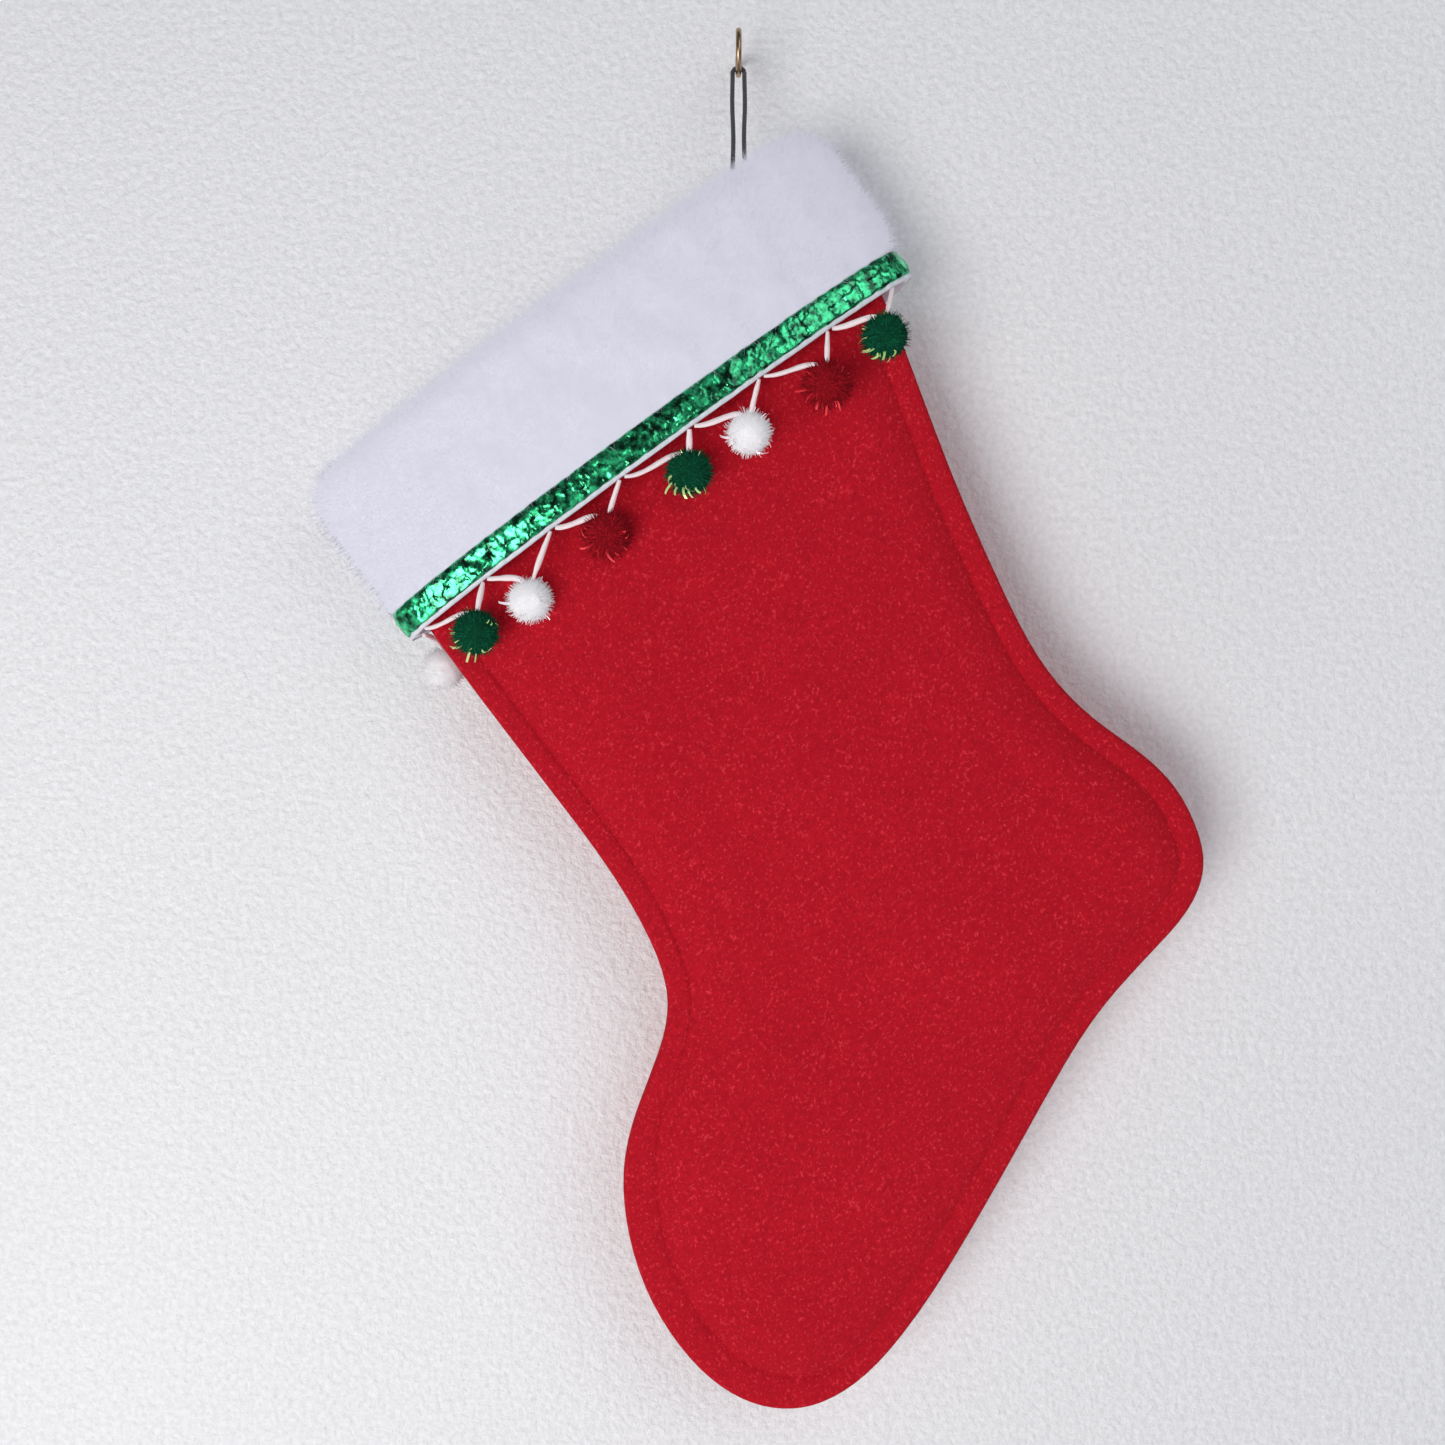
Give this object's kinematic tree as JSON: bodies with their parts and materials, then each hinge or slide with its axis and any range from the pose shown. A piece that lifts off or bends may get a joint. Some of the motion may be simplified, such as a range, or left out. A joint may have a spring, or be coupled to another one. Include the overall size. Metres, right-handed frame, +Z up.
{
  "type": "hanging stocking",
  "caption": "Flat boot-shaped red felt stocking with a plush fold-over cuff, foil ribbon and pom-pom fringe, hung by a cord loop on a brass screw hook.",
  "frame": {"origin": "on the axis of the hook's screw shank, at the wall's face", "axes": "+X to the right seen from the room, +Y into the wall along the screw, +Z up"},
  "size_m": [0.3442, 0.0781, 0.5358],
  "materials": {
    "hook_brass": "drawn wire, slightly tarnished",
    "loop_cord": "twisted dark grey cord",
    "sewing_thread_dark": "matte thread",
    "sewing_thread_red": "matte thread",
    "sewing_thread_white": "matte thread",
    "red_felt": "pressed felt with fine fibres",
    "white_plush": "soft deep plush",
    "white_tape": "smooth woven tape",
    "green_foil": "crinkled metallic foil fabric",
    "white_yarn": "soft chainette yarn",
    "pompom_green": "cut yarn with tinsel",
    "pompom_red": "cut yarn with tinsel",
    "pompom_white": "cut yarn with clear tinsel"
  },
  "bodies": {
    "hook": {"wall_hook": "hook_brass"},
    "loop": {"hanging_loop": "loop_cord"},
    "knot": {"loop_knot": "loop_cord"},
    "stocking": {"loop_stitch": "sewing_thread_dark", "front_panel": "red_felt", "back_panel": "red_felt", "side_seam_thread": "sewing_thread_red", "cuff": "white_plush", "cuff_stitches": "sewing_thread_white", "fringe_tape": "white_tape", "ribbon_trim": "green_foil"},
    "pompom_01_hanging": {"pompom_01": "pompom_green", "pompom_yarn_01": "white_yarn"},
    "pompom_02_hanging": {"pompom_02": "pompom_red", "pompom_yarn_02": "white_yarn"},
    "pompom_03_hanging": {"pompom_03": "pompom_white", "pompom_yarn_03": "white_yarn"},
    "pompom_04_hanging": {"pompom_04": "pompom_green", "pompom_yarn_04": "white_yarn"},
    "pompom_05_hanging": {"pompom_05": "pompom_red", "pompom_yarn_05": "white_yarn"},
    "pompom_06_hanging": {"pompom_06": "pompom_white", "pompom_yarn_06": "white_yarn"},
    "pompom_07_hanging": {"pompom_07": "pompom_green", "pompom_yarn_07": "white_yarn"},
    "pompom_08_hanging": {"pompom_08": "pompom_white", "pompom_yarn_08": "white_yarn"},
    "pompom_09_hanging": {"pompom_09": "pompom_green", "pompom_yarn_09": "white_yarn"},
    "pompom_10_hanging": {"pompom_10": "pompom_red", "pompom_yarn_10": "white_yarn"},
    "pompom_11_hanging": {"pompom_11": "pompom_white", "pompom_yarn_11": "white_yarn"},
    "pompom_12_hanging": {"pompom_12": "pompom_green", "pompom_yarn_12": "white_yarn"},
    "pompom_13_hanging": {"pompom_13": "pompom_red", "pompom_yarn_13": "white_yarn"},
    "pompom_14_hanging": {"pompom_14": "pompom_white", "pompom_yarn_14": "white_yarn"}
  },
  "joints": [
    {"name": "loop_swing", "type": "hinge", "parent": "hook", "child": "loop", "pos_m": [0, -0.02, -0.0105], "axis": [0, 1, 0], "range_deg": [-20, 20]},
    {"name": "stocking_lift", "type": "hinge", "parent": "loop", "child": "knot", "pos_m": [0, -0.0315, -0.0546], "axis": [-1, 0, 0], "range_deg": [0, 40]},
    {"name": "stocking_turn", "type": "hinge", "parent": "knot", "child": "stocking", "pos_m": [0, -0.0315, -0.0546], "axis": [0, 1, 0], "range_deg": [-15, 35]},
    {"name": "pompom_01_swing", "type": "hinge", "parent": "stocking", "child": "pompom_01_hanging", "pos_m": [0.04793, -0.04594, -0.11193], "axis": [-0.7842, -0.246, -0.5697], "range_deg": [0, 55]},
    {"name": "pompom_02_swing", "type": "hinge", "parent": "stocking", "child": "pompom_02_hanging", "pos_m": [0.02254, -0.05168, -0.13038], "axis": [-0.8035, -0.1161, -0.5838], "range_deg": [0, 80]},
    {"name": "pompom_03_swing", "type": "hinge", "parent": "stocking", "child": "pompom_03_hanging", "pos_m": [-0.00325, -0.05432, -0.14911], "axis": [-0.808, -0.0499, -0.5871], "range_deg": [0, 80]},
    {"name": "pompom_04_swing", "type": "hinge", "parent": "stocking", "child": "pompom_04_hanging", "pos_m": [-0.02912, -0.05508, -0.1679], "axis": [-0.809, 0.0026, -0.5878], "range_deg": [0, 80]},
    {"name": "pompom_05_swing", "type": "hinge", "parent": "stocking", "child": "pompom_05_hanging", "pos_m": [-0.05498, -0.05415, -0.1867], "axis": [-0.8078, 0.0557, -0.5869], "range_deg": [0, 80]},
    {"name": "pompom_06_swing", "type": "hinge", "parent": "stocking", "child": "pompom_06_hanging", "pos_m": [-0.08075, -0.05127, -0.20542], "axis": [-0.8027, 0.1248, -0.5832], "range_deg": [0, 75]},
    {"name": "pompom_07_swing", "type": "hinge", "parent": "stocking", "child": "pompom_07_hanging", "pos_m": [-0.10603, -0.04499, -0.22378], "axis": [-0.7784, 0.2726, -0.5655], "range_deg": [0, 55]},
    {"name": "pompom_08_swing", "type": "hinge", "parent": "stocking", "child": "pompom_08_hanging", "pos_m": [-0.11713, -0.03171, -0.23185], "axis": [0.2547, 0.9491, 0.1851], "range_deg": [0, 40]},
    {"name": "pompom_09_swing", "type": "hinge", "parent": "stocking", "child": "pompom_09_hanging", "pos_m": [-0.10145, -0.01938, -0.22045], "axis": [0.7876, 0.2285, 0.5722], "range_deg": [0, 60]},
    {"name": "pompom_10_swing", "type": "hinge", "parent": "stocking", "child": "pompom_10_hanging", "pos_m": [-0.07599, -0.01402, -0.20196], "axis": [0.8041, 0.1095, 0.5842], "range_deg": [0, 80]},
    {"name": "pompom_11_swing", "type": "hinge", "parent": "stocking", "child": "pompom_11_hanging", "pos_m": [-0.05019, -0.01155, -0.18321], "axis": [0.8082, 0.0453, 0.5872], "range_deg": [0, 80]},
    {"name": "pompom_12_swing", "type": "hinge", "parent": "stocking", "child": "pompom_12_hanging", "pos_m": [-0.02432, -0.01094, -0.16442], "axis": [0.809, -0.0068, 0.5878], "range_deg": [0, 80]},
    {"name": "pompom_13_swing", "type": "hinge", "parent": "stocking", "child": "pompom_13_hanging", "pos_m": [0.00155, -0.01201, -0.14563], "axis": [0.8075, -0.0605, 0.5867], "range_deg": [0, 80]},
    {"name": "pompom_14_swing", "type": "hinge", "parent": "stocking", "child": "pompom_14_hanging", "pos_m": [0.02729, -0.01508, -0.12692], "axis": [0.8019, -0.1322, 0.5826], "range_deg": [0, 75]}
  ]
}
